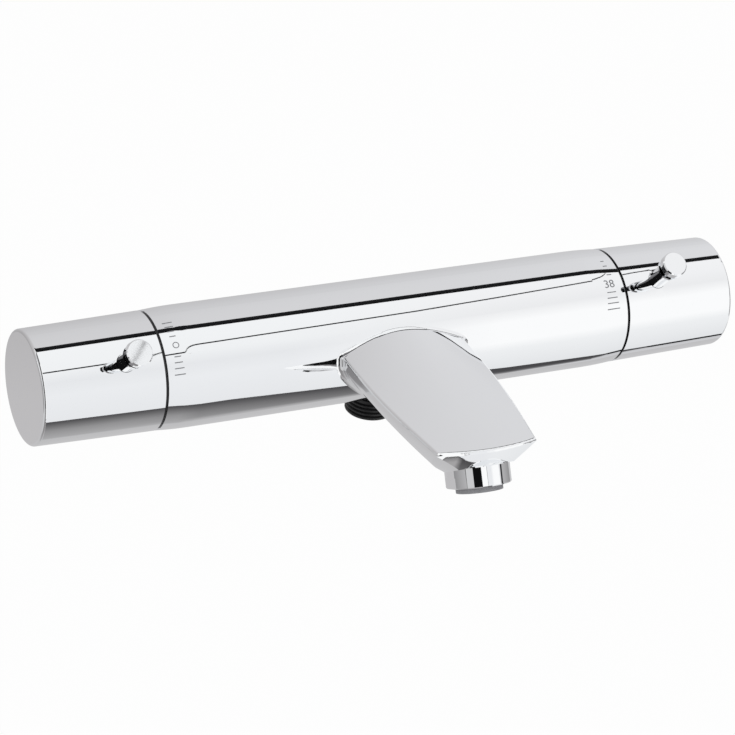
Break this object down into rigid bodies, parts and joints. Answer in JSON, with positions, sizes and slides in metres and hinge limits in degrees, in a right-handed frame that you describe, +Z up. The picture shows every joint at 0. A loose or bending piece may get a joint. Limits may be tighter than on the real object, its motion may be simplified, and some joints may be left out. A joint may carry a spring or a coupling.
{
  "type": "thermostatic bath mixer",
  "caption": "Wall-mounted bar bath mixer with a thermostat handle, a flow and diverter handle, a flat cast spout with aerator and a threaded shower outlet below.",
  "frame": {"origin": "midway between the open faces of the two union nuts, where the mixer meets the wall connections, 41 mm behind the bar's axis and 11 mm below it", "axes": "+X along the bar towards the temperature handle, +Y into the wall, +Z up"},
  "size_m": [0.3128, 0.1502, 0.0701],
  "materials": {
    "chrome": "bright chrome plating on cast and turned brass",
    "black_plastic": "black moulded plastic",
    "grey_plastic": "grey acetal, moulded",
    "white_plastic": "natural acetal, moulded",
    "rubber": "black nitrile rubber",
    "brass": "turned brass, unplated",
    "steel": "stainless steel",
    "ceramic": "polished alumina ceramic"
  },
  "bodies": {
    "fixed_body": {"mixer_body": "chrome", "aerator_housing": "chrome", "aerator_insert": "grey_plastic", "aerator_washer": "rubber", "shower_outlet": "black_plastic", "outlet_o_ring": "rubber", "outlet_check_valve": "grey_plastic", "outlet_valve_spring": "steel", "hot_nipple": "chrome", "cold_nipple": "chrome", "hot_strainer": "steel", "cold_strainer": "steel", "hot_gasket": "rubber", "cold_gasket": "rubber", "inlet_o_rings": "rubber", "hot_check_valve": "grey_plastic", "cold_check_valve": "grey_plastic", "hot_valve_spring": "steel", "cold_valve_spring": "steel", "thermostat_housing": "brass", "thermostat_seals": "rubber", "return_spring": "steel", "thermostat_retainer": "brass", "temp_stop_ring": "grey_plastic", "temp_seam_ring": "black_plastic", "flow_seal": "rubber", "fixed_disc": "ceramic", "flow_headpart": "brass", "headpart_o_ring": "rubber", "flow_stop_ring": "grey_plastic", "flow_seam_ring": "black_plastic"},
    "flow_handle": {"flow_handle": "chrome", "flow_carrier": "grey_plastic", "flow_carrier_screw": "steel", "flow_peg": "chrome", "flow_spindle": "brass", "flow_spindle_seal": "rubber", "rotating_disc": "ceramic", "flow_button_spring": "steel"},
    "flow_button": {"flow_button": "chrome"},
    "temp_handle": {"temp_handle": "chrome", "temp_carrier": "grey_plastic", "temp_carrier_screw": "steel", "temp_peg": "chrome", "temp_spindle": "brass", "temp_spindle_seal": "rubber", "temp_button_spring": "steel"},
    "temp_button": {"temp_button": "chrome"},
    "mixing_valve": {"adjusting_nut": "brass", "overload_spring": "steel", "wax_element": "brass", "mixing_spool": "white_plastic"},
    "hot_union_nut": {"hot_union_nut": "chrome"},
    "cold_union_nut": {"cold_union_nut": "chrome"},
    "hot_poppet": {"hot_poppet": "white_plastic"},
    "cold_poppet": {"cold_poppet": "white_plastic"},
    "outlet_poppet": {"outlet_poppet": "white_plastic"}
  },
  "joints": [
    {"name": "flow_handle_turn", "type": "hinge", "parent": "fixed_body", "child": "flow_handle", "pos_m": [0, -0.041, 0.011], "axis": [1, 0, 0], "range_deg": [-54, 36]},
    {"name": "flow_button_press", "type": "slide", "parent": "flow_handle", "child": "flow_button", "axis": [0, 0.7431, -0.6691], "range_m": [0, 0.0016], "stiffness_N_per_m": 500, "springref_m": -0.002, "deforming": ["flow_button_spring"]},
    {"name": "temp_handle_turn", "type": "hinge", "parent": "fixed_body", "child": "temp_handle", "pos_m": [0, -0.041, 0.011], "axis": [1, 0, 0], "range_deg": [-100, 35]},
    {"name": "temp_button_press", "type": "slide", "parent": "temp_handle", "child": "temp_button", "axis": [0, 0.6428, -0.766], "range_m": [0, 0.0016], "stiffness_N_per_m": 500, "springref_m": -0.002, "deforming": ["temp_button_spring"]},
    {"name": "mixing_valve_slide", "type": "slide", "parent": "fixed_body", "child": "mixing_valve", "axis": [1, 0, 0], "range_m": [-0.00172, 0.00063], "deforming": ["return_spring"]},
    {"name": "hot_nut_turn", "type": "hinge", "parent": "fixed_body", "child": "hot_union_nut", "pos_m": [-0.075, -0.041, 0], "axis": [0, 1, 0], "continuous": true},
    {"name": "cold_nut_turn", "type": "hinge", "parent": "fixed_body", "child": "cold_union_nut", "pos_m": [0.075, -0.041, 0], "axis": [0, 1, 0], "continuous": true},
    {"name": "hot_valve_open", "type": "slide", "parent": "fixed_body", "child": "hot_poppet", "axis": [0, -1, 0], "range_m": [0, 0.003], "stiffness_N_per_m": 40, "springref_m": -0.002, "deforming": ["hot_valve_spring"]},
    {"name": "cold_valve_open", "type": "slide", "parent": "fixed_body", "child": "cold_poppet", "axis": [0, -1, 0], "range_m": [0, 0.003], "stiffness_N_per_m": 40, "springref_m": -0.002, "deforming": ["cold_valve_spring"]},
    {"name": "outlet_valve_open", "type": "slide", "parent": "fixed_body", "child": "outlet_poppet", "axis": [0, 0, -1], "range_m": [0, 0.003], "stiffness_N_per_m": 40, "springref_m": -0.002, "deforming": ["outlet_valve_spring"]}
  ],
  "couplings": [
    {"joint": "mixing_valve_slide", "follows": "temp_handle_turn", "m_per_rad": 0.00095493}
  ]
}
